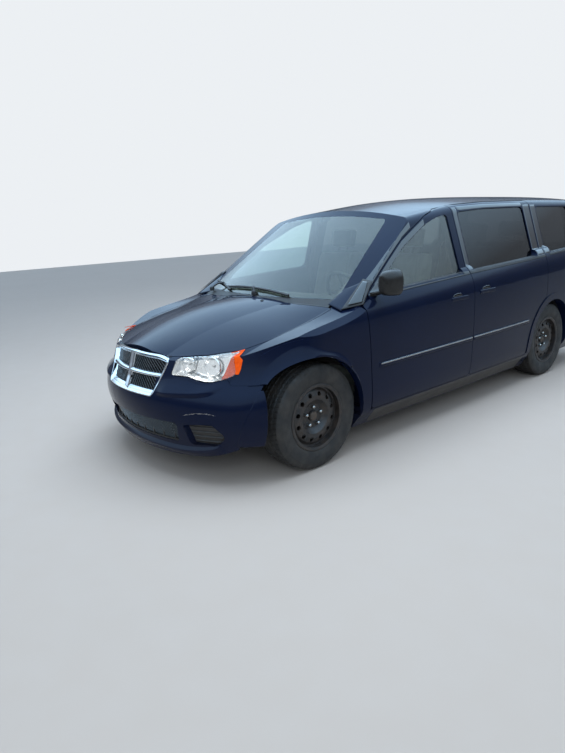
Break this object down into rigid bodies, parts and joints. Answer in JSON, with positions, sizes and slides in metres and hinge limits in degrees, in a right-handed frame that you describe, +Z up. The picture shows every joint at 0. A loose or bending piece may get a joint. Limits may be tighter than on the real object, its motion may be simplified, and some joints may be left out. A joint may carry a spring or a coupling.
{
  "type": "minivan",
  "caption": "Full-size minivan with hinged front doors, hood and liftgate, steered front wheels, sliding side doors and seats for seven",
  "frame": {"origin": "on the ground, under the middle of the whole box, the one door mirror included; the right mirror is missing, so the centre plane of the body lies at x -0.064", "axes": "+X to the vehicle left, -Y to the front, +Z up"},
  "size_m": [2.128, 5.1569, 1.7257],
  "materials": {
    "body_paint": "glossy dark navy blue paint",
    "tyre_rubber": "dusty black rubber",
    "black_steel": "black painted steel",
    "cast_metal": "rough cast and welded steel",
    "dark_steel": "coated underbody steel",
    "engine_alloy": "cast alloy",
    "exhaust_steel": "dull exhaust steel",
    "chrome": "bright chrome",
    "black_plastic": "matt black plastic",
    "clear_lamp": "clear lamp lens",
    "red_lamp": "glossy red lens",
    "clear_glass": "lightly green safety glass",
    "privacy_glass": "dark tinted glass",
    "seat_cloth": "grey beige cloth",
    "cabin_plastic": "soft grey cabin plastic"
  },
  "bodies": {
    "body": {"body_side_left": "body_paint", "body_side_right": "body_paint", "cowl": "black_plastic", "dashboard": "cabin_plastic", "engine": "engine_alloy", "exhaust": "exhaust_steel", "fenders": "body_paint", "firewall": "dark_steel", "floor_pan": "dark_steel", "front_bumper": "body_paint", "front_rails": "dark_steel", "front_seats": "seat_cloth", "front_subframe": "cast_metal", "fuel_tank": "dark_steel", "grille": "chrome", "headlamps": "clear_lamp", "lower_grille": "black_plastic", "middle_seats": "seat_cloth", "radiator": "black_plastic", "rear_axle": "cast_metal", "rear_bumper": "body_paint", "rear_seat": "seat_cloth", "roof_panel": "body_paint", "side_glass": "privacy_glass", "sliding_doors": "body_paint", "tail_lamps": "red_lamp", "wheel_liners": "black_plastic", "windscreen": "clear_glass", "wipers": "black_plastic"},
    "hood": {"hood": "body_paint"},
    "front_door_left": {"front_door_left": "body_paint", "front_door_glass_left": "clear_glass", "mirror_left": "black_plastic"},
    "front_door_right": {"front_door_right": "body_paint", "front_door_glass_right": "clear_glass"},
    "liftgate": {"liftgate": "body_paint", "liftgate_glass": "privacy_glass"},
    "knuckle_left": {"knuckle_left": "cast_metal"},
    "knuckle_right": {"knuckle_right": "cast_metal"},
    "wheel_front_left": {"rim_front_left": "black_steel", "tyre_front_left": "tyre_rubber"},
    "wheel_front_right": {"rim_front_right": "black_steel", "tyre_front_right": "tyre_rubber"},
    "wheel_rear_left": {"rim_rear_left": "black_steel", "tyre_rear_left": "tyre_rubber"},
    "wheel_rear_right": {"rim_rear_right": "black_steel", "tyre_rear_right": "tyre_rubber"},
    "steering_wheel": {"steering_wheel": "cabin_plastic"}
  },
  "joints": [
    {"name": "steer_left", "type": "hinge", "parent": "body", "child": "knuckle_left", "pos_m": [0.693, -1.7105, 0.21], "axis": [-0.1736, 0, 0.9848], "range_deg": [-34, 34]},
    {"name": "steer_right", "type": "hinge", "parent": "body", "child": "knuckle_right", "pos_m": [-0.821, -1.7105, 0.21], "axis": [0.1736, 0, 0.9848], "range_deg": [-34, 34]},
    {"name": "spin_front_left", "type": "hinge", "parent": "knuckle_left", "child": "wheel_front_left", "pos_m": [0.769, -1.7105, 0.3495], "axis": [1, 0, 0], "continuous": true},
    {"name": "spin_front_right", "type": "hinge", "parent": "knuckle_right", "child": "wheel_front_right", "pos_m": [-0.897, -1.7105, 0.3495], "axis": [1, 0, 0], "continuous": true},
    {"name": "spin_rear_left", "type": "hinge", "parent": "body", "child": "wheel_rear_left", "pos_m": [0.759, 1.3675, 0.3495], "axis": [1, 0, 0], "continuous": true},
    {"name": "spin_rear_right", "type": "hinge", "parent": "body", "child": "wheel_rear_right", "pos_m": [-0.887, 1.3675, 0.3495], "axis": [1, 0, 0], "continuous": true},
    {"name": "door_left", "type": "hinge", "parent": "body", "child": "front_door_left", "pos_m": [0.918, -1.2185, 0.7], "axis": [0, 0, -1], "range_deg": [0, 65]},
    {"name": "door_right", "type": "hinge", "parent": "body", "child": "front_door_right", "pos_m": [-1.046, -1.2185, 0.7], "axis": [0, 0, 1], "range_deg": [0, 65]},
    {"name": "hood_lift", "type": "hinge", "parent": "body", "child": "hood", "pos_m": [-0.064, -1.3805, 1.045], "axis": [-1, 0, 0], "range_deg": [0, 50]},
    {"name": "liftgate_lift", "type": "hinge", "parent": "body", "child": "liftgate", "pos_m": [-0.064, 2.2595, 1.694], "axis": [1, 0, 0], "range_deg": [0, 85]},
    {"name": "steering_turn", "type": "hinge", "parent": "body", "child": "steering_wheel", "pos_m": [0.306, -0.8405, 1.01], "axis": [0, -0.8988, -0.4384], "range_deg": [-510, 510]}
  ],
  "couplings": [
    {"joint": "steer_right", "follows": "steer_left", "ratio": 1},
    {"joint": "steering_turn", "follows": "steer_left", "ratio": -15}
  ]
}
